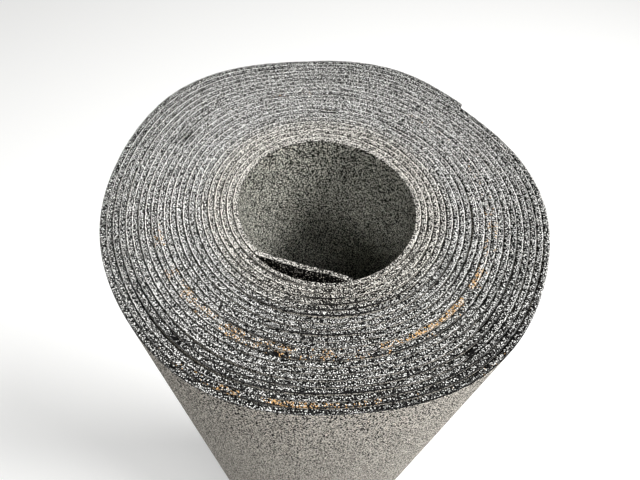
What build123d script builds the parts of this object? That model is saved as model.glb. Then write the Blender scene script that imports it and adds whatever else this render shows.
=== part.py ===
from build123d import *
import os
from math import asin, atan2, cos, degrees, radians, sin

# Roll of mineral-surfaced roofing felt, standing on end. It is one long sheet,
# wound clockwise as seen from above. All sizes are in millimetres, +Z is up, and
# the origin is at the centre of the base.

# The sheet
felt_width = 1000.0         # width of the sheet, which is the height of the roll
sheet_thickness = 2.7       # felt with its mineral surface
winding_gap = 0.3           # air that is left between two turns

# The winding
bore_radius = 41.0          # to the inner face, where the innermost turn begins
whole_turns = 21            # the winding has half a turn more than these
crease_angle = 225.0        # where the innermost turn is creased, degrees from +X

# The upper end: every turn's cut edge rises to a crest near its outer face
crest_offset = 2.1          # from a turn's inner face to its crest
crest_height = 1.8          # of the crest over the joint between two turns

# The foot: the weight has pressed every turn flat, with a V between two turns
foot_groove_width = 1.0     # mouth of the V
foot_groove_depth = 2.5

# The free inner end, a stiff flap that springs into the bore
flap_sweep = 66.0           # from its crease to its tip, degrees about the bore
flap_bow = 1.0              # rise of its curve over a straight chord
tip_clearance = 0.3         # from its tip to the turn that it points at

# What follows from them
turn_pitch = sheet_thickness + winding_gap
second_centre = Vector(-turn_pitch / 2, 0)
second_radius = bore_radius + turn_pitch / 2


def edge_section(inner_radius, turns, turn_width):
    """Section through neighbouring turns, which part from each other on both ends."""
    chamfer = foot_groove_width / 2
    foot = [(inner_radius, foot_groove_depth)]
    crest = [(inner_radius, felt_width - crest_height)]
    for turn in range(turns):
        inner = inner_radius + turn * turn_width
        outer = inner + turn_width
        foot += [(inner + chamfer, 0), (outer - chamfer, 0), (outer, foot_groove_depth)]
        crest += [(inner + crest_offset, felt_width), (outer, felt_width - crest_height)]
    return Plane.XZ * make_face(Polyline(*foot, *reversed(crest), close=True))


def half_turns(inner_radius, turns):
    """Half of the winding: every turn is turned through 180 degrees."""
    return revolve(edge_section(inner_radius, turns, turn_pitch), Axis.Z, 180)


def winding():
    """Two sets of half turns, whose centres lie half a pitch apart, make the spiral.

    On one side of the seam each turn meets itself, and on the other side it meets
    the next one. The first set has one turn more, which ends as the outer tail.
    """
    first = half_turns(bore_radius, whole_turns + 1)
    second = half_turns(second_radius, whole_turns)
    return first + Pos(second_centre.X, second_centre.Y, 0) * Rot(0, 0, 180) * second


def flap():
    """The free inner end, from the crease to the tip, on one flat curve."""
    sweep = radians(180 + flap_sweep)
    reach = second_radius - tip_clearance
    crease = Vector(-bore_radius - sheet_thickness, 0)
    tip = second_centre + Vector(cos(sweep), sin(sweep)) * reach
    chord = tip - crease
    radius = (chord.length**2 / 4 + flap_bow**2) / (2 * flap_bow)
    inward = Vector(-chord.Y, chord.X).normalized()
    centre = (crease + tip) / 2 + inward * (radius - flap_bow)
    start = degrees(atan2(crease.Y - centre.Y, crease.X - centre.X))
    span = degrees(2 * asin(chord.length / 2 / radius))
    section = edge_section(radius - sheet_thickness, 1, sheet_thickness)
    return Pos(centre.X, centre.Y, 0) * Rot(0, 0, start) * revolve(section, Axis.Z, span)


def felt_roll():
    """The whole roll, turned to its crease and centred on the axis."""
    roll = Rot(0, 0, crease_angle - 180) * (winding() + flap())
    middle = roll.bounding_box().center()
    return Pos(-middle.X, -middle.Y, 0) * roll


os.makedirs("parts", exist_ok=True)
roll = felt_roll()
roll.label = "felt_roll"
export_step(roll, "parts/felt_roll.step")
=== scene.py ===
"""The look of a roll of mineral-surfaced roofing felt that stands on end.

The roll is one long sheet, wound clockwise as seen from above. All sizes are in metres.
"""

import logging
from dataclasses import dataclass, field
from enum import Enum
from math import acos, atan2, cos, pi, radians, sin
from typing import Callable, Mapping, Sequence

import bpy
import numpy as np
from mathutils import Matrix, Vector


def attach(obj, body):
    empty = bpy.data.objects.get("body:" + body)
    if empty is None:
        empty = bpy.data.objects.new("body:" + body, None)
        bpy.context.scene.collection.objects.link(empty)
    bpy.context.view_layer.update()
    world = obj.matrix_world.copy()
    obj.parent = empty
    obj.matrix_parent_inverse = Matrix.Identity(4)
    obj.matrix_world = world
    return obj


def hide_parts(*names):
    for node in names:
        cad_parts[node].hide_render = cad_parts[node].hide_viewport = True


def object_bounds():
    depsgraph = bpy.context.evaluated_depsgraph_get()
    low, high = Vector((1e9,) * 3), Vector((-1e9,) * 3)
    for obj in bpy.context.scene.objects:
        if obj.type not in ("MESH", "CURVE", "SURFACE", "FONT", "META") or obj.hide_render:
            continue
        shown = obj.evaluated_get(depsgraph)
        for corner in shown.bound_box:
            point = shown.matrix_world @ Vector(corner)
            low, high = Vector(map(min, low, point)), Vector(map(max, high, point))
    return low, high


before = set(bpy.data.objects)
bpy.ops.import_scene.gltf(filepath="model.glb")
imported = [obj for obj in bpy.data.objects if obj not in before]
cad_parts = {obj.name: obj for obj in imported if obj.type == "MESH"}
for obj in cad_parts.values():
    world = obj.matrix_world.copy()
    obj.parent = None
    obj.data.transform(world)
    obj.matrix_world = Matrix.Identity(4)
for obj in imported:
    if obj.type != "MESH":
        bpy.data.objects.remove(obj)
CAD_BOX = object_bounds()

LOG = logging.getLogger("felt_roll")
MM = 0.001
CLOSE = 0.01 * MM
# Random numbers along the sheet are drawn for this many turns, from turn -1 on.
WANDER_TURNS = 26
UP = (0.0, 0.0, 1.0)
Colour = tuple[float, float, float]
Span = tuple[float, float]


def swing(angles: np.ndarray, middle: float) -> np.ndarray:
    """The signed distance of angles from a middle one, from -pi to pi."""
    return (angles - middle + pi) % (2 * pi) - pi


def polar(points: np.ndarray) -> tuple[np.ndarray, np.ndarray]:
    """The angle of each point about the axis, and its distance from it."""
    return np.arctan2(points[:, 1], points[:, 0]), np.hypot(points[:, 0], points[:, 1])


class Face(Enum):
    """The three kinds of surface of the sheet. The value is the material's slot number."""

    CUT_EDGE = 0
    OUTER = 1
    INNER = 2


class Value:
    """A socket of a node tree that adds Math nodes when it is used in an expression."""

    def __init__(self, nodes: "Nodes", socket: bpy.types.NodeSocket) -> None:
        """Keeps the node tree that the socket belongs to."""
        self.nodes = nodes
        self.socket = socket

    def math(self, operation: str, *others: "Value | float", first: "Value | float | None" = None) -> "Value":
        """Adds one Math node.

        Args:
            operation: the Math node's operation.
            others: the operands after the first.
            first: the first operand, where it isn't this value.

        Returns:
            The node's output.
        """
        operands = [self if first is None else first, *others]
        return self.nodes.node("ShaderNodeMath", {"operation": operation}, dict(enumerate(operands)))

    def __add__(self, other: "Value | float") -> "Value":
        """Adds."""
        return self.math("ADD", other)

    __radd__ = __add__

    def __mul__(self, other: "Value | float") -> "Value":
        """Multiplies."""
        return self.math("MULTIPLY", other)

    __rmul__ = __mul__

    def __sub__(self, other: "Value | float") -> "Value":
        """Subtracts the other from this."""
        return self.math("SUBTRACT", other)

    def __rsub__(self, other: "Value | float") -> "Value":
        """Subtracts this from the other."""
        return self.math("SUBTRACT", self, first=other)

    def __truediv__(self, other: "Value | float") -> "Value":
        """Divides this by the other."""
        return self.math("DIVIDE", other)

    def output(self, name: str) -> "Value":
        """Another output of the same node."""
        return Value(self.nodes, self.socket.node.outputs[name])

    def ramp(self, start: float, end: float) -> "Value":
        """Goes smoothly from 0 at start to 1 at end.

        Args:
            start: the input that gives 0.
            end: the input that gives 1; it may be the lower one.

        Returns:
            The smooth step.
        """
        limits = {1: start, 2: end, 3: 0.0, 4: 1.0}
        if start > end:
            limits = {1: end, 2: start, 3: 1.0, 4: 0.0}
        settings = {"interpolation_type": "SMOOTHSTEP"}
        return self.nodes.node("ShaderNodeMapRange", settings, {0: self, **limits})

    def band(self, start: float, full: float, fade: float, end: float) -> "Value":
        """Is 1 between full and fade, and 0 below start and above end."""
        return self.ramp(start, full) * self.ramp(end, fade)


class Nodes:
    """A node tree, of a material or of the world."""

    def __init__(self, tree: bpy.types.NodeTree) -> None:
        """Keeps the tree."""
        self.tree = tree

    def node(
        self,
        kind: str,
        settings: Mapping[str, object] | None = None,
        inputs: Mapping[int | str, object] | None = None,
        output: int | str = 0,
    ) -> Value:
        """Adds one node.

        Args:
            kind: the node's type.
            settings: its properties, which are set first; "stops" are a colour ramp's.
            inputs: a value or a link for each of its sockets.
            output: the socket that is returned.

        Returns:
            That output.
        """
        node = self.tree.nodes.new(kind)
        for key, setting in (settings or {}).items():
            if key == "stops":
                self.set_stops(node.color_ramp, setting)
            else:
                setattr(node, key, setting)
        for key, value in (inputs or {}).items():
            if isinstance(value, Value):
                self.tree.links.new(value.socket, node.inputs[key])
            else:
                node.inputs[key].default_value = value
        return Value(self, node.outputs[output])

    @staticmethod
    def set_stops(ramp: bpy.types.ColorRamp, stops: Sequence[tuple[float, Colour]]) -> None:
        """Gives a colour ramp its stops.

        Args:
            ramp: the ramp.
            stops: the position and colour of each.
        """
        for index, (position, colour) in enumerate(stops):
            stop = ramp.elements[index] if index < len(ramp.elements) else ramp.elements.new(position)
            stop.position = position
            stop.color = (*colour, 1.0)

    def seen(self) -> Value:
        """Is 1 for the rays that show a surface as it is: from the camera, off a gloss or through glass."""
        rays = self.node("ShaderNodeLightPath", output="Is Camera Ray")
        return rays + rays.output("Is Glossy Ray") + rays.output("Is Transmission Ray")


class Shader(Nodes):
    """A material's node tree, with one Principled shader."""

    def __init__(self, name: str, roughness: float, specular: float) -> None:
        """Makes the material.

        Args:
            name: the material's name.
            roughness: the same all over the surface.
            specular: the specular level, the same all over the surface.
        """
        self.material = bpy.data.materials.new(name)
        self.material.use_nodes = True
        super().__init__(self.material.node_tree)
        self.surface = self.tree.nodes["Principled BSDF"]
        self.surface.inputs["Roughness"].default_value = roughness
        self.surface.inputs["Specular IOR Level"].default_value = specular
        self.place = self.node("ShaderNodeTexCoord", output="Object")

    def mix(
        self, factor: Value | float, first: Value | Colour, second: Value | Colour, blend: str = "MIX"
    ) -> Value:
        """Mixes two colours.

        Args:
            factor: the share of the second.
            first: a colour.
            second: a colour.
            blend: how they mix.

        Returns:
            The mixed colour.
        """
        sockets = {0: factor, 6: self.rgba(first), 7: self.rgba(second)}
        return self.node("ShaderNodeMix", {"data_type": "RGBA", "blend_type": blend}, sockets, 2)

    @staticmethod
    def rgba(colour: Value | Colour) -> Value | tuple[float, ...]:
        """Gives a plain colour its alpha, and leaves a link as it is."""
        return colour if isinstance(colour, Value) else (*colour, 1.0)

    def shade(self, colour: Value, value: Value | float) -> Value:
        """Multiplies a colour by a value.

        Args:
            colour: the colour.
            value: the value, 1 for no change.

        Returns:
            The darker or lighter colour.
        """
        return self.node("ShaderNodeVectorMath", {"operation": "SCALE"}, {0: colour, 3: value})

    def attribute(self, name: str) -> Value:
        """Reads one of the mesh's own attributes."""
        return self.node("ShaderNodeAttribute", {"attribute_name": name}, output="Fac")

    def noise(self, size: float, detail: float) -> Value:
        """Soft noise in the object's own space.

        Args:
            size: the size of its patches.
            detail: its octaves.

        Returns:
            The noise, from 0 to 1.
        """
        inputs = {"Vector": self.place, "Scale": 1 / size, "Detail": detail}
        return self.node("ShaderNodeTexNoise", inputs=inputs)

    def finish(self, colour: Value, height: Value, depth: float, strength: float) -> bpy.types.Material:
        """Links the colour and the relief to the surface.

        Args:
            colour: the base colour.
            height: the relief, from 0 to 1.
            depth: what 1 stands for.
            strength: the strength of the bump.

        Returns:
            The material.
        """
        inputs = {"Strength": strength, "Distance": depth, "Height": height}
        bump = self.node("ShaderNodeBump", inputs=inputs)
        self.tree.links.new(colour.socket, self.surface.inputs["Base Color"])
        self.tree.links.new(bump.socket, self.surface.inputs["Normal"])
        return self.material


@dataclass(frozen=True)
class Grains:
    """A flat layer of mineral grains, each of one tone out of a range, that gather in small lumps, with
    painted shade in the seats between the grains.
    """

    size: float
    tones: tuple[tuple[float, Colour], ...]
    crown: Span = (0.57, 0.22)
    # The darkest share of a grain's colour at its seat: painted shade between the grains.
    seat_shade: float = 0.1
    lowest: float = 0.4
    lump_size: float = 2.2
    lump_crown: Span = (0.5, 0.1)
    lump_chance: float = 0.75
    lumps: float = 0.9
    gain: float = 3.0
    palest: Colour = (0.92, 0.92, 0.9)

    def dress(
        self, shader: Shader, place: Value, shift: Value | float = 0.0, contrast: Value | float = 1.0
    ) -> tuple[Value, Value, Value]:
        """Adds the grains to a shader.

        Args:
            shader: the shader.
            place: the place on the layer, in metres along X and Y.
            shift: makes the grains paler, or darker if it is below 0.
            contrast: spreads their tones.

        Returns:
            Their colour, with painted shade in the seats between the grains, their relief from 0 to 1, and a
            random number for each grain.
        """
        grain = self.cells(shader, place, self.size, 1.0)
        lump = self.cells(shader, place, self.size * self.lump_size, self.lump_chance)
        lump = lump.ramp(*self.lump_crown) - 0.5
        lot = shader.node("ShaderNodeSeparateColor", inputs={0: grain.output("Color")}, output="Red")
        crown = grain.ramp(*self.crown)
        tone = lot * contrast + shift + lump * self.lumps
        colour = shader.node("ShaderNodeValToRGB", {"stops": self.tones}, {0: tone})
        # Painted shade: each grain's colour darkens from its crown down to its seat.
        colour = shader.shade(colour, self.seat_shade + crown * (1 - self.seat_shade))
        colour = shader.shade(colour, self.gain)
        colour = shader.node("ShaderNodeVectorMath", {"operation": "MINIMUM"}, {0: colour, 1: self.palest})
        relief = crown * (lot * (1 - self.lowest) + self.lowest)
        return colour, relief, lot.output("Green")

    @staticmethod
    def cells(shader: Shader, place: Value, size: float, chance: float) -> Value:
        """Splits the layer into cells.

        Args:
            shader: the shader.
            place: the place on the layer.
            size: the size of a cell.
            chance: how irregular the cells are, from 0 to 1.

        Returns:
            The distance from the cell's middle, in cells.
        """
        inputs = {"Vector": place, "Scale": 1 / size, "Randomness": chance}
        return shader.node("ShaderNodeTexVoronoi", {"voronoi_dimensions": "2D"}, inputs, "Distance")


@dataclass(frozen=True)
class CutEdgeFinish:
    """The sheet's cut edge: grey grains, a pale crest along each turn, and painted shade along the joint
    beside it.
    """

    name: str = "cut_felt_edge"
    grains: Grains = Grains(
        0.38 * MM,
        (
            (0.0, (0.002, 0.002, 0.002)),
            (0.34, (0.009, 0.009, 0.0084)),
            (0.54, (0.045, 0.045, 0.042)),
            (0.68, (0.13, 0.129, 0.122)),
            (0.82, (0.44, 0.437, 0.418)),
            (1.0, (0.52, 0.517, 0.497)),
        ),
    )
    lean: Colour = (-sin(radians(45)), cos(radians(45)), 0.0)
    crest: Colour = (0.9, 0.895, 0.86)
    # Painted shade along the joints between the turns and in the open joints.
    joint: Colour = (0.006, 0.006, 0.006)
    warm: Colour = (1.0, 0.97, 0.92)
    rust: Colour = (0.5, 0.3, 0.13)
    rough: float = 0.9
    shine: float = 0.03
    level: float = 0.165
    contrast: float = 1.8
    line_calm: float = 0.4
    patch_size: float = 8 * MM
    patches: float = 0.06
    crest_lift: float = 0.5
    crest_least: float = 0.05
    crest_most: float = 0.62
    crest_band: tuple[float, float, float, float] = (0.76, 0.81, 0.86, 0.9)
    crest_breaks: Span = (0.16, 0.4)
    # The painted shade along each joint: its drop in tone, its cover, and where it lies across the edge.
    joint_drop: float = 0.6
    joint_cover: float = 0.6
    joint_outside: Span = (0.92, 0.99)
    joint_inside: Span = (0.08, 0.01)
    joint_breaks: Span = (0.08, 0.38)
    break_size: float = 2.6 * MM
    break_fade: float = 0.4
    waver_size: float = 1.6 * MM
    waver: float = 0.35
    # Where across the edge the painted shade of the open joints lies, and how much it covers.
    open_gap_shade: Span = (0.72, 0.8)
    opening_cover: float = 0.97
    warm_turns: Span = (7.0, 3.0)
    fleck_patch_size: float = 9 * MM
    fleck_patches: Span = (0.38, 0.56)
    fleck_edge: float = 0.02
    relief: float = 0.3 * MM
    bump: float = 0.5

    def build(self) -> bpy.types.Material:
        """Makes the material."""
        shader = Shader(self.name, self.rough, self.shine)
        line = shader.attribute("line")
        patches = (shader.noise(self.patch_size, detail=1.0) - 0.5) * self.patches
        crest, joint = self.lines(shader, line)
        contrast = self.contrast - line * self.line_calm
        # The tone holds painted shade at the near and far sides and in the dents.
        level = shader.attribute("tone") + patches + self.level
        # The joint's drop in tone is painted shade.
        level = level + crest * self.crest_lift - joint * self.joint_drop
        shift = level + (1 - contrast) * 0.5
        colour, relief, lot = self.grains.dress(shader, self.place(shader), shift, contrast)
        colour = shader.mix(crest * (line * self.crest_most + self.crest_least), colour, self.crest)
        # Painted shade along the joints.
        colour = shader.mix(joint * self.joint_cover, colour, self.joint)
        # Painted shade: the open joints are painted nearly black on the outer part of the edge.
        open_gap_shade = shader.attribute("across").ramp(*self.open_gap_shade) * shader.attribute("gap_shade")
        colour = shader.mix(open_gap_shade * self.opening_cover, colour, self.joint)
        inner = shader.attribute("turn").ramp(*self.warm_turns)
        colour = shader.mix(inner, colour, shader.mix(1.0, colour, self.warm, "MULTIPLY"))
        rusty = shader.noise(self.fleck_patch_size, detail=2.0).ramp(*self.fleck_patches)
        flecks = (lot - 1 + shader.attribute("fleck") * rusty).ramp(0.0, self.fleck_edge)
        colour = shader.mix(flecks, colour, self.rust)
        return shader.finish(colour, relief, self.relief, self.bump)

    def place(self, shader: Shader) -> Value:
        """Finds the place of each point on the layer of grains.

        It moves aside with the height, so that the grains aren't streaks on upright faces.

        Args:
            shader: the shader.

        Returns:
            The place, in metres along X and Y.
        """
        height = shader.node("ShaderNodeSeparateXYZ", inputs={0: shader.place}, output="Z")
        aside = shader.node("ShaderNodeVectorMath", {"operation": "SCALE"}, {0: self.lean, 3: height})
        return shader.node("ShaderNodeVectorMath", {"operation": "ADD"}, {0: shader.place, 1: aside})

    def lines(self, shader: Shader, line: Value) -> tuple[Value, Value]:
        """The two lines that follow each turn: the pale crest and the painted shade of the joint.

        Args:
            shader: the shader.
            line: how clear the lines are.

        Returns:
            Where the crest is, and where the joint's painted shade is.
        """
        across = shader.attribute("across")
        waver = (shader.noise(self.waver_size, detail=2.0) - 0.5) * self.waver
        breaks = shader.noise(self.break_size, detail=3.0) + (line - 1) * self.break_fade
        crest = (across + waver).band(*self.crest_band) * breaks.ramp(*self.crest_breaks)
        joint = (across + waver).ramp(*self.joint_outside) + (across - waver).ramp(*self.joint_inside)
        return crest, joint * breaks.ramp(*self.joint_breaks)


@dataclass(frozen=True)
class SheetFaceFinish:
    """One of the sheet's two wide faces: fine grains on a plain ground and, where it is set, painted shade on
    the flap inside the bore.
    """

    name: str
    grains: Grains
    upright: float = 1.3
    patch_size: float = 50 * MM
    patches: float = 0.15
    flap_turns: Span = (0.1, 0.0)
    # How much painted shade darkens the flap inside the bore.
    flap_shade: float = 0.0
    rough: float = 0.9
    shine: float = 0.03
    relief: float = 0.3 * MM
    bump: float = 0.8

    def build(self) -> bpy.types.Material:
        """Makes the material."""
        shader = Shader(self.name, self.rough, self.shine)
        patches = (shader.noise(self.patch_size, detail=1.0) - 0.5) * self.patches
        # Painted shade on the flap inside the bore.
        flap_shade_mask = shader.attribute("turn").ramp(*self.flap_turns)
        height = shader.node("ShaderNodeSeparateXYZ", inputs={0: shader.place}, output="Z")
        flat = {0: shader.attribute("along"), 1: height / self.upright}
        place = shader.node("ShaderNodeCombineXYZ", inputs=flat)
        colour, relief, _ = self.grains.dress(shader, place, patches - flap_shade_mask * self.flap_shade)
        return shader.finish(colour, relief, self.relief, self.bump)


OUTER_FACE = SheetFaceFinish(
    "mineral_face",
    Grains(
        0.58 * MM,
        (
            (0.0, (0.003, 0.003, 0.003)),
            (0.14, (0.009, 0.0085, 0.0075)),
            (0.26, (0.2, 0.187, 0.165)),
            (0.5, (0.57, 0.535, 0.475)),
            (1.0, (0.62, 0.585, 0.525)),
        ),
        lumps=0.6,
        gain=2.4,
        palest=(0.92, 0.86, 0.77),
    ),
    # Painted shade on the flap inside the bore.
    flap_shade=0.6,
)
INNER_FACE = SheetFaceFinish(
    "under_face",
    Grains(
        0.46 * MM,
        (
            (0.0, (0.002, 0.002, 0.002)),
            (0.34, (0.008, 0.008, 0.007)),
            (0.53, (0.08, 0.08, 0.07)),
            (0.66, (0.86, 0.85, 0.74)),
            (1.0, (0.9, 0.89, 0.78)),
        ),
        lumps=0.6,
        palest=(0.92, 0.91, 0.8),
    ),
)


@dataclass(frozen=True)
class Arc:
    """One stretch of the wound sheet, bent to a single radius."""

    centre: Vector
    radius: float
    start: float
    sweep: float
    turns: Span

    def direction(self, share: float = 0.0) -> Vector:
        """The direction from the centre to a place on the arc, by its share of the sweep."""
        angle = self.start + self.sweep * share
        return Vector((cos(angle), sin(angle), 0.0))

    def measure(self, points: np.ndarray) -> tuple[np.ndarray, np.ndarray]:
        """Finds where points of the arc are on the flat sheet.

        Args:
            points: their places, one row each.

        Returns:
            Their turn numbers, and their distances from the inner face.
        """
        angles, spans = polar(points - np.array(self.centre))
        share = np.clip(0.5 + swing(angles, self.start + self.sweep / 2) / self.sweep, 0.0, 1.0)
        first, last = self.turns
        return first + (last - first) * share, spans - self.radius


@dataclass(frozen=True)
class Winding:
    """The spiral that the sheet follows: half turns about two centres, half a pitch apart."""

    bore_radius: float = 41.0 * MM
    pitch: float = 3.0 * MM
    whole_turns: int = 21
    crease_angle: float = radians(225)
    crease_radius: float = 2.5 * MM
    crease_turn: float = radians(29)
    crease_end: float = -0.02
    flap_radius: float = 276 * MM
    flap_end: float = -0.2
    tip_clearance: float = 0.3 * MM

    @property
    def half_turns(self) -> int:
        """The number of half turns from the crease to the outer end."""
        return 2 * self.whole_turns + 1

    @property
    def seam(self) -> Vector:
        """The direction from the axis to the crease."""
        return Vector((cos(self.crease_angle), sin(self.crease_angle), 0.0))

    @property
    def first_centre(self) -> Vector:
        """The centre of the outermost half turn, which touches the box on its -X and +Y sides."""
        reach = self.radius(self.half_turns + 1)
        return Vector((CAD_BOX[0].x + reach, CAD_BOX[1].y - reach, 0.0))

    def centre(self, half: int) -> Vector:
        """The centre of one half turn."""
        return self.first_centre + self.seam * (self.pitch / 2 * (half % 2))

    def radius(self, half: int) -> float:
        """The radius of the inner face in one half turn."""
        return self.bore_radius + half * self.pitch / 2

    def length(self, turns: np.ndarray) -> np.ndarray:
        """The length of sheet that is wound up to each turn number."""
        return 2 * pi * turns * (self.bore_radius + turns * self.pitch / 2)

    def arcs(self, thickness: float) -> list[Arc]:
        """Lists the stretches of the sheet.

        Args:
            thickness: the sheet's thickness.

        Returns:
            The flap, the crease and then the half turns, the outermost last.
        """
        halves = []
        for half in range(self.half_turns):
            even = half % 2 == 0
            turns = (half / 2, (half + 1) / 2) if even else ((half + 1) / 2, half / 2)
            sweep = -pi if even else pi
            halves.append(Arc(self.centre(half), self.radius(half), self.crease_angle, sweep, turns))
        return [*self.free_end(thickness), *halves]

    def free_end(self, thickness: float) -> list[Arc]:
        """Shapes the free inner end: a tight crease, and one flat curve across the bore's edge.

        Args:
            thickness: the sheet's thickness.

        Returns:
            The flat curve and the crease.
        """
        hinge = self.first_centre + self.seam * (self.bore_radius - self.crease_radius)
        turns = (0.0, self.crease_end)
        crease = Arc(hinge, self.crease_radius, self.crease_angle, self.crease_turn, turns)
        inner = self.flap_radius - thickness
        middle = hinge - crease.direction(1.0) * (inner - self.crease_radius)
        apart = self.centre(1) - middle
        reach = self.radius(1) - self.tip_clearance
        cosine = (apart.length**2 + self.flap_radius**2 - reach**2) / (2 * apart.length * self.flap_radius)
        start = self.crease_angle + self.crease_turn
        sweep = (atan2(apart.y, apart.x) + acos(cosine) - start) % (2 * pi)
        return [Arc(middle, inner, start, sweep, (self.crease_end, self.flap_end)), crease]


@dataclass(frozen=True)
class Spot:
    """A place on the upper end, by its direction and its turn.

    Its spread along the turn is an angle, or a length where it is a dent or a dark spot.
    """

    angle: float
    turn: float
    spread: float
    amount: float
    width: float = 0.6

    def whole_turn(self, winding: Winding) -> float:
        """The turn number at the spot's angle that is nearest to its turn."""
        part = (winding.crease_angle - self.angle) / (2 * pi) % 1.0
        return round(self.turn - part) + part

    def stamp(self, winding: Winding, spans: np.ndarray, turns: np.ndarray, angles: np.ndarray) -> np.ndarray:
        """How much of a dent or of soil there is at each point.

        Args:
            winding: the winding.
            spans: the distances from the axis.
            turns: the turn numbers.
            angles: the angles about the axis.

        Returns:
            The amounts.
        """
        along = swing(angles, self.angle) * spans / self.spread
        across = (turns - self.whole_turn(winding)) / self.width
        return np.exp(-(along**2) - across**2) * self.amount


@dataclass(frozen=True)
class Lobe:
    """A wave of the roll's outline, with its number of bulges and its depth at the bore and at the rim."""

    bulges: int
    angle: float
    at_bore: float
    at_rim: float


@dataclass
class Unevenness:
    """How the shape of a real roll differs from an even winding."""

    winding: Winding
    seed: int = 7
    drift: Span = (0.0, -4.3 * MM)
    reach: Span = (-0.2, 1.05)
    lobes: tuple[Lobe, ...] = (
        Lobe(0, 0.0, 0.6 * MM, 0.0),
        Lobe(2, radians(150), 1.0 * MM, 2.0 * MM),
        Lobe(3, radians(5), 0.2 * MM, 0.9 * MM),
        Lobe(4, radians(57), 0.0, 0.9 * MM),
        Lobe(5, radians(3), 0.0, 0.7 * MM),
        Lobe(6, radians(12), 0.0, 1.0 * MM),
    )
    sway: float = 0.1 * MM
    sway_knots: int = 14
    rise: float = 0.35 * MM
    rise_knots: tuple[tuple[int, float], ...] = ((9, 0.6), (37, 0.4))
    ragged: float = 0.07 * MM
    joint_turns: float = 3.0
    open_joints: tuple[Spot, ...] = (
        Spot(radians(237), 18.6, radians(16), 0.7 * MM),
        Spot(radians(243), 16.5, radians(18), 0.7 * MM),
        Spot(radians(205), 0.5, radians(20), 0.6 * MM),
        Spot(radians(10), 1.0, radians(18), 0.5 * MM),
        Spot(radians(90), 12.0, radians(25), 0.7 * MM),
        Spot(radians(115), 20.0, radians(20), 0.7 * MM),
        Spot(radians(0), 9.5, radians(30), 0.5 * MM),
        Spot(radians(275), 6.5, radians(20), 0.5 * MM),
    )
    dents: tuple[Spot, ...] = (
        Spot(radians(260), 13.0, 2.0 * MM, 1.8 * MM),
        Spot(radians(234), 18.0, 2.2 * MM, 1.4 * MM),
        Spot(radians(90), 7.0, 3.5 * MM, 1.5 * MM),
        Spot(radians(154), 13.5, 2.0 * MM, 1.5 * MM),
        Spot(radians(310), 17.5, 3.5 * MM, 1.4 * MM),
        Spot(radians(55), 7.5, 9.0 * MM, 1.0 * MM),
        Spot(radians(291), -0.2, 6.0 * MM, 2.0 * MM),
    )

    def move(self, points: np.ndarray, turns: np.ndarray, height: float) -> np.ndarray:
        """Moves the points of the even winding.

        Args:
            points: their places, one row each.
            turns: their turn numbers.
            height: the roll's height.

        Returns:
            Their new places.
        """
        dice = np.random.default_rng(self.seed)
        angles, spans = polar(points)
        inner = self.winding.bore_radius
        outer = self.winding.radius(self.winding.half_turns)
        share = np.clip((spans - inner) / (outer - inner), *self.reach)
        push = self.push(turns, angles, share, dice)
        moved = points.copy()
        moved[:, 0] += np.cos(angles) * push + self.drift[0] * (1 - share)
        moved[:, 1] += np.sin(angles) * push + self.drift[1] * (1 - share)
        top = points[:, 2] > height / 2
        moved[top, 2] -= self.drop(spans, turns, angles, dice)[top]
        return moved

    def push(
        self, turns: np.ndarray, angles: np.ndarray, share: np.ndarray, dice: np.random.Generator
    ) -> np.ndarray:
        """The outward shift of each point.

        Args:
            turns: the turn numbers.
            angles: the angles about the axis.
            share: 0 at the bore, 1 at the rim.
            dice: the random numbers.

        Returns:
            The shifts.
        """
        push = self.wander(turns, self.sway_knots, dice) * self.sway
        for lobe in self.lobes:
            depth = lobe.at_bore + (lobe.at_rim - lobe.at_bore) * share**2
            push += np.cos(lobe.bulges * (angles - lobe.angle)) * depth
        for joint in self.open_joints:
            beyond = turns - joint.whole_turn(self.winding) + 0.5
            away = swing(angles, joint.angle) / joint.spread
            near = np.exp(-(away**2) - np.abs(beyond) / self.joint_turns)
            push += np.sign(beyond) * near * joint.amount / 2
        return push

    def drop(
        self, spans: np.ndarray, turns: np.ndarray, angles: np.ndarray, dice: np.random.Generator
    ) -> np.ndarray:
        """How far each point of the upper end lies below its top.

        Args:
            spans: the distances from the axis.
            turns: the turn numbers.
            angles: the angles about the axis.
            dice: the random numbers.

        Returns:
            The drops.
        """
        wave = sum(self.wander(turns, knots, dice) * share for knots, share in self.rise_knots)
        drop = self.rise * (1 + wave) + self.ragged * (1 + dice.uniform(-1, 1, len(turns)))
        for dent in self.dents:
            drop += dent.stamp(self.winding, spans, turns, angles)
        return drop

    @staticmethod
    def wander(turns: np.ndarray, knots: int, dice: np.random.Generator) -> np.ndarray:
        """Random numbers that change smoothly along the sheet.

        Args:
            turns: the turn numbers.
            knots: the new numbers for each turn.
            dice: the random numbers.

        Returns:
            A value from -1 to 1 for each turn number.
        """
        values = dice.uniform(-1, 1, WANDER_TURNS * knots)
        place = np.clip((turns + 1) * knots, 0, len(values) - 2)
        whole = place.astype(int)
        part = place - whole
        part = part * part * (3 - 2 * part)
        return values[whole] * (1 - part) + values[whole + 1] * part


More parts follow.
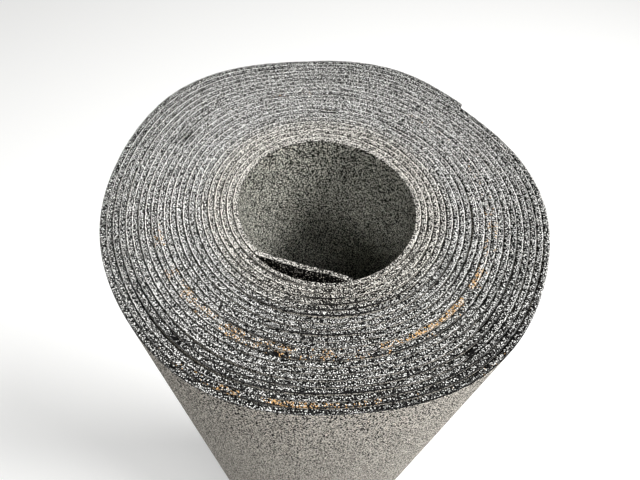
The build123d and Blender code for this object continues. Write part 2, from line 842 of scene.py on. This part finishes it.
@dataclass
class Wear:
    """How the upper end's tone, its lines and its rust flecks are spread, with painted shade at the near and
    far sides, in the dents and in the open joints.
    """

    winding: Winding
    near_side: float = radians(280)
    far_side: float = radians(75)
    dull_side: float = radians(200)
    # Paler grains towards the bore.
    inner_pale: float = 0.15
    inner_pale_turns: float = 4.0
    base: float = 0.1
    # Painted shade at the near side and at the far side.
    near_shade: float = 0.2
    near_focus: int = 8
    far_shade: float = 0.08
    rim_dark: float = 0.15
    rim_focus: int = 6
    near_blur: float = 0.7
    far_blur: float = 0.3
    dull_blur: float = 0.7
    dull_turns: Span = (20.3, 20.7)
    dull_spread: float = 0.8
    seed: int = 11
    gap_knots: int = 14
    gap_contrast: float = 4.0
    gap_rarity: float = 0.8
    loose_turns: Span = (13.0, 19.0)
    looseness: float = 1.6
    gap_least: float = 0.2
    fleck_width: float = 0.3
    flecks: float = 0.68
    # Dark spots: the first six are painted shade in the dents, and the last darkens a broad stretch of the
    # outermost turn.
    dark_spots: tuple[Spot, ...] = (
        Spot(radians(260), 13.0, 2.6 * MM, 1.0),
        Spot(radians(234), 18.0, 3.0 * MM, 0.8),
        Spot(radians(90), 7.0, 4.0 * MM, 0.8),
        Spot(radians(154), 13.5, 2.8 * MM, 0.9),
        Spot(radians(310), 17.5, 4.0 * MM, 0.7),
        Spot(radians(55), 7.5, 9.0 * MM, 0.4),
        Spot(radians(190), 21.0, 70.0 * MM, 0.05),
    )
    rust: tuple[Spot, ...] = (
        Spot(radians(255), 11.6, radians(60), 0.45),
        Spot(radians(224), 12.2, radians(20), 0.3),
        Spot(radians(235), 12.7, radians(45), 0.4),
        Spot(radians(330), 11.8, radians(35), 0.4),
        Spot(radians(350), 13.0, radians(25), 0.25),
        Spot(radians(45), 12.2, radians(20), 0.15),
        Spot(radians(105), 12.0, radians(30), 0.12),
        Spot(radians(262), 19.8, radians(18), 0.35),
        Spot(radians(300), 20.3, radians(30), 0.3),
    )

    def marks(self, points: np.ndarray, turns: np.ndarray) -> dict[str, np.ndarray]:
        """Works out the wear at each point.

        Args:
            points: their places, one row each.
            turns: their turn numbers.

        Returns:
            For each attribute its numbers: "tone", "line", the painted shade of the open joints, and "fleck".
        """
        angles, spans = polar(points)
        near = 0.5 + 0.5 * np.cos(angles - self.near_side)
        far = 0.5 + 0.5 * np.cos(angles - self.far_side)
        return {
            "tone": self.tone(spans, turns, angles, near, far),
            "line": self.line(turns, angles, near, far),
            "gap_shade": self.gap_shade(turns, near),
            "fleck": self.fleck(turns, angles),
        }

    def tone(
        self, spans: np.ndarray, turns: np.ndarray, angles: np.ndarray, near: np.ndarray, far: np.ndarray
    ) -> np.ndarray:
        """How pale the grains are: paler towards the bore, darker towards the rim, and with painted shade at
        the near side, at the far side and in the dents.

        Args:
            spans: the distances from the axis.
            turns: the turn numbers.
            angles: the angles about the axis.
            near: 1 at the near side, 0 across from it.
            far: 1 at the far side, 0 across from it.

        Returns:
            The shift of their tone, below 0 for darker.
        """
        tone = self.inner_pale * np.exp(-np.clip(turns, 0, None) / self.inner_pale_turns) - self.base
        # Painted shade at the near side and at the far side.
        tone -= self.near_shade * near**self.near_focus + self.far_shade * far**2
        tone -= self.rim_dark * np.clip(turns / self.winding.whole_turns, 0, 1) ** self.rim_focus
        # Painted shade in the dents, and one broad dark stretch at the rim.
        for spot in self.dark_spots:
            tone -= spot.stamp(self.winding, spans, turns, angles)
        return tone

    def line(self, turns: np.ndarray, angles: np.ndarray, near: np.ndarray, far: np.ndarray) -> np.ndarray:
        """How clear the lines along the turns are.

        Args:
            turns: the turn numbers.
            angles: the angles about the axis.
            near: 1 at the near side, 0 across from it.
            far: 1 at the far side, 0 across from it.

        Returns:
            Their clearness, from 0 to 1.
        """
        first, last = self.dull_turns
        rim = np.clip((turns - first) / (last - first), 0, 1)
        rim = rim * np.exp(-((swing(angles, self.dull_side) / self.dull_spread) ** 2))
        return (1 - self.near_blur * near**2) * (1 - self.far_blur * far**2) * (1 - self.dull_blur * rim)

    def gap_shade(self, turns: np.ndarray, near: np.ndarray) -> np.ndarray:
        """Painted shade in the open joints: how dark they stand open, darkest at the near side.

        Args:
            turns: the turn numbers.
            near: 1 at the near side, 0 across from it.

        Returns:
            The darkness, from 0 to 1.
        """
        first, last = self.loose_turns
        loose = np.clip((turns - first) / (last - first), 0, 1) * self.looseness
        wander = Unevenness.wander(turns, self.gap_knots, np.random.default_rng(self.seed))
        gap_shade = np.clip(wander * self.gap_contrast - self.gap_rarity + loose, 0, 1)
        return gap_shade * (self.gap_least + (1 - self.gap_least) * near**2)

    def fleck(self, turns: np.ndarray, angles: np.ndarray) -> np.ndarray:
        """The share of rusty grains.

        Args:
            turns: the turn numbers.
            angles: the angles about the axis.

        Returns:
            The shares.
        """
        fleck = np.zeros(len(turns))
        for spot in self.rust:
            along = swing(angles, spot.angle) / spot.spread
            across = (turns - spot.turn) / self.fleck_width
            fleck += np.exp(-(along**2) - across**2) * spot.amount
        return fleck * self.flecks


@dataclass(frozen=True)
class Bevel:
    """How one corner of the sheet's section is rounded."""

    upper: bool
    inner: bool
    size: float
    segments: int


@dataclass
class FeltRoll:
    """The wound sheet, from the tip of its inner flap to its outer end."""

    winding: Winding
    thickness: float = 2.7 * MM
    step: float = 2.4 * MM
    fewest_steps: int = 6
    edge_drop: float = 0.35 * MM
    collar: float = 4.0 * MM
    skin: float = 0.01
    smooth_angle: float = radians(50)
    bevels: tuple[Bevel, ...] = (
        Bevel(upper=True, inner=True, size=0.5 * MM, segments=2),
        Bevel(upper=True, inner=False, size=0.45 * MM, segments=3),
        Bevel(upper=False, inner=True, size=0.4 * MM, segments=2),
        Bevel(upper=False, inner=False, size=0.4 * MM, segments=2),
    )
    floor: float = field(default_factory=lambda: CAD_BOX[0].z)
    height: float = field(default_factory=lambda: CAD_BOX[1].z - CAD_BOX[0].z)

    def build(self) -> bpy.types.Object:
        """Winds, settles and dresses the sheet.

        Returns:
            The finished piece.
        """
        section = self.section()
        arcs = self.winding.arcs(self.thickness)
        parts = [self.bend(section, arc) for arc in arcs]
        self.cap(parts[0], arcs[0])
        self.cap(parts[-1], arcs[-1])
        roll = self.join(section, parts)
        self.settle(roll)
        self.dress(roll)
        return roll

    def section(self) -> bpy.types.Object:
        """Models the sheet's section as a wire in the XZ plane, with its inner face at X = 0."""
        bpy.ops.object.select_all(action="DESELECT")
        middle = (self.thickness / 2, 0.0, self.floor + self.height / 2)
        bpy.ops.mesh.primitive_plane_add(size=1.0, location=middle, rotation=(pi / 2, 0.0, 0.0))
        section = bpy.context.object
        section.scale = (self.thickness, self.height, 1.0)
        bpy.ops.object.transform_apply(location=True, rotation=True, scale=True)
        bpy.ops.object.mode_set(mode="EDIT")
        bpy.ops.mesh.select_mode(type="VERT")
        top = self.floor + self.height
        self.pick(section, lambda co: abs(co.z - top) < CLOSE and co.x < self.thickness / 2)
        bpy.ops.transform.translate(value=(0.0, 0.0, -self.edge_drop))
        for bevel in self.bevels:
            level = top if bevel.upper else self.floor
            if bevel.upper and bevel.inner:
                level -= self.edge_drop
            self.pick(
                section,
                lambda co: abs(co.z - level) < CLOSE and (co.x < self.thickness / 2) == bevel.inner,
            )
            bpy.ops.mesh.bevel(offset=bevel.size, segments=bevel.segments, affect="VERTICES")
        bpy.ops.mesh.select_all(action="SELECT")
        bpy.ops.mesh.delete(type="ONLY_FACE")
        for height in (self.floor + self.collar, top - self.collar):
            bpy.ops.mesh.select_all(action="SELECT")
            bpy.ops.mesh.bisect(plane_co=(0.0, 0.0, height), plane_no=UP)
        bpy.ops.object.mode_set(mode="OBJECT")
        LOG.info("section: %d points", len(section.data.vertices))
        return section

    @staticmethod
    def pick(thing: bpy.types.Object, wanted: Callable[[Vector], bool]) -> None:
        """Selects the vertices of a mesh in edit mode by their place.

        Args:
            thing: the object.
            wanted: tells whether a place is wanted.
        """
        bpy.ops.object.mode_set(mode="OBJECT")
        mesh = thing.data
        chosen = [wanted(vertex.co) for vertex in mesh.vertices]
        mesh.vertices.foreach_set("select", chosen)
        ends = [tuple(edge.vertices) for edge in mesh.edges]
        mesh.edges.foreach_set("select", [chosen[a] and chosen[b] for a, b in ends])
        mesh.polygons.foreach_set("select", [False] * len(mesh.polygons))
        bpy.ops.object.mode_set(mode="EDIT")

    def bend(self, section: bpy.types.Object, arc: Arc) -> bpy.types.Object:
        """Spins a copy of the section along one stretch, and writes down where each point is.

        Args:
            section: the section.
            arc: the stretch.

        Returns:
            That part of the sheet.
        """
        bpy.ops.object.select_all(action="DESELECT")
        section.select_set(True)
        bpy.context.view_layer.objects.active = section
        bpy.ops.object.duplicate()
        part = bpy.context.object
        part.rotation_euler.z = arc.start
        part.location = arc.centre + arc.direction() * arc.radius
        bpy.ops.object.transform_apply(location=True, rotation=True)
        bpy.ops.object.mode_set(mode="EDIT")
        bpy.ops.mesh.select_all(action="SELECT")
        length = abs(arc.sweep) * (arc.radius + self.thickness)
        steps = max(self.fewest_steps, round(length / self.step))
        bpy.ops.mesh.spin(steps=steps, angle=-arc.sweep, center=arc.centre, axis=UP)
        bpy.ops.object.mode_set(mode="OBJECT")
        turns, depths = arc.measure(self.points(part.data))
        self.write(part.data, "turn", turns)
        self.write(part.data, "across", depths / self.thickness)
        return part

    @staticmethod
    def points(mesh: bpy.types.Mesh) -> np.ndarray:
        """The places of a mesh's vertices, one row each."""
        flat = np.empty(len(mesh.vertices) * 3)
        mesh.vertices.foreach_get("co", flat)
        return flat.reshape(-1, 3)

    @staticmethod
    def write(mesh: bpy.types.Mesh, name: str, values: np.ndarray) -> None:
        """Stores a number for each vertex.

        Args:
            mesh: the mesh.
            name: the attribute's name.
            values: the numbers.
        """
        layer = mesh.attributes.get(name) or mesh.attributes.new(name, "FLOAT", "POINT")
        layer.data.foreach_set("value", values)

    @staticmethod
    def read(mesh: bpy.types.Mesh, name: str) -> np.ndarray:
        """Reads back the number of each vertex."""
        values = np.empty(len(mesh.vertices))
        mesh.attributes[name].data.foreach_get("value", values)
        return values

    def cap(self, part: bpy.types.Object, arc: Arc) -> None:
        """Closes the sheet at the far end of a stretch.

        Args:
            part: that part of the sheet.
            arc: the stretch.
        """
        bpy.ops.object.select_all(action="DESELECT")
        part.select_set(True)
        bpy.context.view_layer.objects.active = part
        last = arc.direction(1.0)
        beside = last.cross(Vector(UP))

        def at_end(place: Vector) -> bool:
            """Tells whether a place is in the last section."""
            away = place - arc.centre
            return abs(away.dot(beside)) < CLOSE and away.dot(last) > 0

        bpy.ops.object.mode_set(mode="EDIT")
        self.pick(part, at_end)
        bpy.ops.mesh.edge_face_add()
        bpy.ops.object.mode_set(mode="OBJECT")

    def join(self, section: bpy.types.Object, parts: list[bpy.types.Object]) -> bpy.types.Object:
        """Joins the stretches into one closed sheet.

        Args:
            section: the section, which isn't needed any more.
            parts: the stretches.

        Returns:
            The sheet.
        """
        bpy.ops.object.select_all(action="DESELECT")
        section.select_set(True)
        bpy.ops.object.delete()
        for part in parts:
            part.select_set(True)
        roll = parts[-1]
        bpy.context.view_layer.objects.active = roll
        bpy.ops.object.join()
        roll.name = roll.data.name = "wound_felt_sheet"
        bpy.ops.object.mode_set(mode="EDIT")
        bpy.ops.mesh.select_all(action="SELECT")
        bpy.ops.mesh.remove_doubles(threshold=CLOSE)
        bpy.ops.mesh.normals_make_consistent(inside=False)
        bpy.ops.object.mode_set(mode="OBJECT")
        return roll

    def settle(self, roll: bpy.types.Object) -> None:
        """Gives the even winding the shape of a real one, with the tone, lines, rust flecks and painted shade
        of its upper end.

        Args:
            roll: the wound sheet.
        """
        mesh = roll.data
        turns = self.read(mesh, "turn")
        points = self.points(mesh)
        moved = Unevenness(self.winding).move(points, turns, self.height)
        mesh.vertices.foreach_set("co", moved.ravel())
        for name, values in Wear(self.winding).marks(points, turns).items():
            self.write(mesh, name, values)
        self.write(mesh, "along", self.winding.length(turns))
        mesh.update()

    def dress(self, roll: bpy.types.Object) -> None:
        """Gives each face of the sheet its finish.

        Args:
            roll: the settled sheet.
        """
        for finish in (CutEdgeFinish(), OUTER_FACE, INNER_FACE):
            roll.data.materials.append(finish.build())
        across = self.read(roll.data, "across")
        kinds = []
        for polygon in roll.data.polygons:
            places = across[list(polygon.vertices)]
            kind = Face.CUT_EDGE
            if places.min() > 1 - self.skin:
                kind = Face.OUTER
            elif places.max() < self.skin:
                kind = Face.INNER
            kinds.append(kind.value)
        roll.data.polygons.foreach_set("material_index", kinds)
        bpy.ops.object.shade_smooth_by_angle(angle=self.smooth_angle)


@dataclass(frozen=True)
class Lamp:
    """A soft area lamp that looks at the roll's upper end."""

    name: str
    azimuth: float
    elevation: float
    distance: float
    size: float
    power: float

    def build(self, target: Vector) -> None:
        """Hangs the lamp.

        Args:
            target: the place that it looks at.
        """
        data = bpy.data.lights.new(self.name, "AREA")
        data.shape = "DISK"
        data.size = self.size
        data.energy = self.power
        lamp = bpy.data.objects.new(self.name, data)
        bpy.context.scene.collection.objects.link(lamp)
        level = cos(self.elevation)
        away = Vector((cos(self.azimuth) * level, sin(self.azimuth) * level, sin(self.elevation)))
        lamp.location = target + away * self.distance
        lamp.rotation_euler = away.to_track_quat("Z", "Y").to_euler()


@dataclass(frozen=True)
class Studio:
    """The floor, the light and the camera, which stands where the photograph was taken from."""

    floor_size: float = 200.0
    floor_colour: Colour = (0.8, 0.8, 0.785)
    floor_rough: float = 0.9
    floor_shine: float = 0.2
    floor_glow: float = 0.3
    backdrop: Colour = (0.8, 0.8, 0.79)
    sky: float = 0.073
    rim_radius: float = 106.2 * MM
    camera_back: float = 1.476
    camera_rise: float = 1.796
    near_clip: float = 10.0 * MM
    lens: float = 28.63
    pitch: float = radians(55.67)
    yaw: float = radians(-0.23)
    roll: float = radians(3.6)
    lamps: tuple[Lamp, ...] = (
        Lamp("key_lamp", radians(-10), radians(50), 2.5, 1.0, 125.0),
        Lamp("top_lamp", radians(-45), radians(66), 2.5, 0.8, 26.7),
        Lamp("fill_lamp", radians(235), radians(40), 2.5, 0.8, 25.0),
    )

    def build(self) -> None:
        """Makes the floor, the sky, the lamps and the camera."""
        self.floor()
        self.world()
        target = Vector((0.0, 0.0, CAD_BOX[1].z))
        for lamp in self.lamps:
            lamp.build(target)
        self.camera()

    def floor(self) -> None:
        """Lays a plain pale floor under the roll."""
        bpy.ops.object.select_all(action="DESELECT")
        bpy.ops.mesh.primitive_plane_add(size=self.floor_size, location=(0.0, 0.0, CAD_BOX[0].z))
        floor = bpy.context.object
        floor.name = "floor"
        bpy.ops.object.transform_apply(location=True)
        shader = Shader("floor_paint", self.floor_rough, self.floor_shine)
        shader.surface.inputs["Base Color"].default_value = (*self.floor_colour, 1.0)
        shader.surface.inputs["Emission Strength"].default_value = self.floor_glow
        shader.tree.links.new(shader.seen().socket, shader.surface.inputs["Emission Color"])
        floor.data.materials.append(shader.material)

    def world(self) -> None:
        """Lights the roll evenly from all round, behind a pale background."""
        world = bpy.data.worlds.new("soft_sky")
        bpy.context.scene.world = world
        world.use_nodes = True
        nodes = Nodes(world.node_tree)
        light = nodes.tree.nodes["Background"]
        light.inputs["Strength"].default_value = self.sky
        light.inputs["Color"].default_value = (1.0, 1.0, 1.0, 1.0)
        behind = nodes.node("ShaderNodeBackground", inputs={"Color": (*self.backdrop, 1.0)})
        sockets = {0: nodes.seen(), 1: Value(nodes, light.outputs[0]), 2: behind}
        mixed = nodes.node("ShaderNodeMixShader", inputs=sockets)
        nodes.tree.links.new(mixed.socket, nodes.tree.nodes["World Output"].inputs["Surface"])

    def camera(self) -> None:
        """Places the camera at the photograph's viewing angle."""
        data = bpy.data.cameras.new("camera")
        data.lens = self.lens
        data.clip_start = self.near_clip
        camera = bpy.data.objects.new("camera", data)
        bpy.context.scene.collection.objects.link(camera)
        ahead = Vector((sin(self.yaw), cos(self.yaw), 0.0)) * cos(self.pitch) - Vector(UP) * sin(self.pitch)
        level = Vector((cos(self.yaw), -sin(self.yaw), 0.0))
        upright = level.cross(ahead)
        right = level * cos(self.roll) + upright * sin(self.roll)
        up = upright * cos(self.roll) - level * sin(self.roll)
        place = Vector((0.0, -self.camera_back, self.camera_rise)) * self.rim_radius
        place.z += CAD_BOX[1].z
        turn = Matrix((right, up, -ahead)).transposed().to_4x4()
        camera.matrix_world = Matrix.Translation(place) @ turn
        bpy.context.scene.camera = camera


def main() -> None:
    """Builds the studio and the roll."""
    logging.basicConfig(level=logging.INFO, format="%(name)s: %(message)s")
    bpy.context.scene.view_settings.view_transform = "Standard"
    Studio().build()
    roll = FeltRoll(Winding()).build()
    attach(roll, "root")
    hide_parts("felt_roll")
    LOG.info("%s: %d vertices", roll.name, len(roll.data.vertices))


if __name__ == "__main__":
    main()
